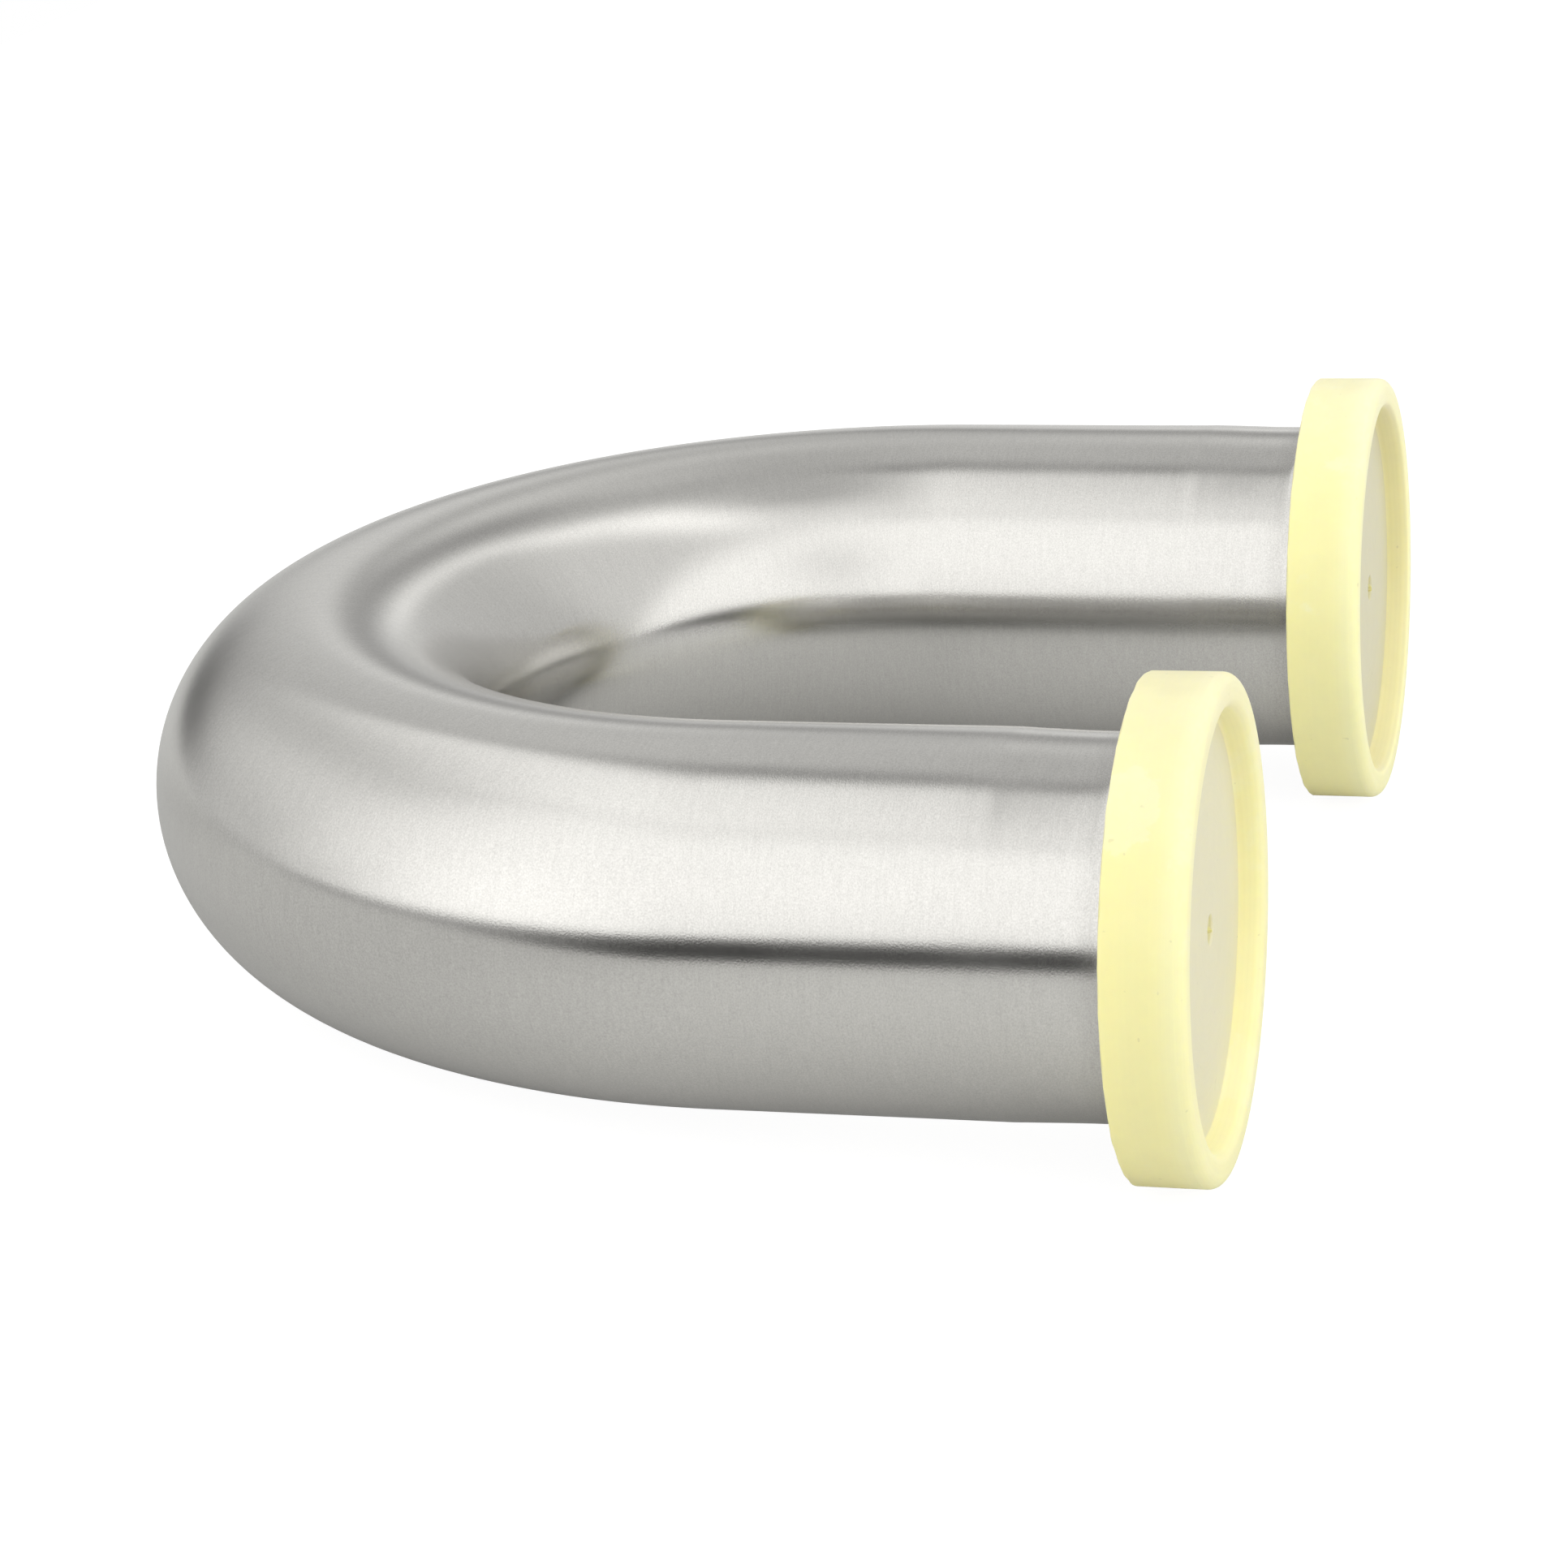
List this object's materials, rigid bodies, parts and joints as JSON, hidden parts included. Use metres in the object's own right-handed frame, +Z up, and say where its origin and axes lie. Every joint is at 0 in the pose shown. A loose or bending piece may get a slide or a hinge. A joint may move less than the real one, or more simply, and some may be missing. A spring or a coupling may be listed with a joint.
{
  "type": "return bend",
  "caption": "Stainless hygienic return bend: tube turned through 180 degrees with straight legs, a welded clamp ferrule on each end and a push-on plastic protective cap over each ferrule.",
  "frame": {"origin": "centre of the left ferrule's sealing face", "axes": "+X out of both mouths along the legs, +Y from the left leg to the right leg, +Z up, square to the plane of the bend"},
  "size_m": [0.1685, 0.218, 0.0656],
  "materials": {
    "tube_steel": "fine brushed stainless, brushed round the tube",
    "ferrule_steel": "turned and fine brushed stainless",
    "cap_plastic": "pale yellow, slightly translucent soft polyethylene"
  },
  "bodies": {
    "bend": {"bend_tube": "tube_steel", "left_ferrule": "ferrule_steel", "right_ferrule": "ferrule_steel"},
    "left_cap": {"left_cap": "cap_plastic"},
    "right_cap": {"right_cap": "cap_plastic"}
  },
  "joints": [
    {"name": "left_cap_pull", "type": "slide", "parent": "bend", "child": "left_cap", "axis": [1, 0, 0], "range_m": [0, 0.06]},
    {"name": "right_cap_pull", "type": "slide", "parent": "bend", "child": "right_cap", "axis": [1, 0, 0], "range_m": [0, 0.06]}
  ]
}
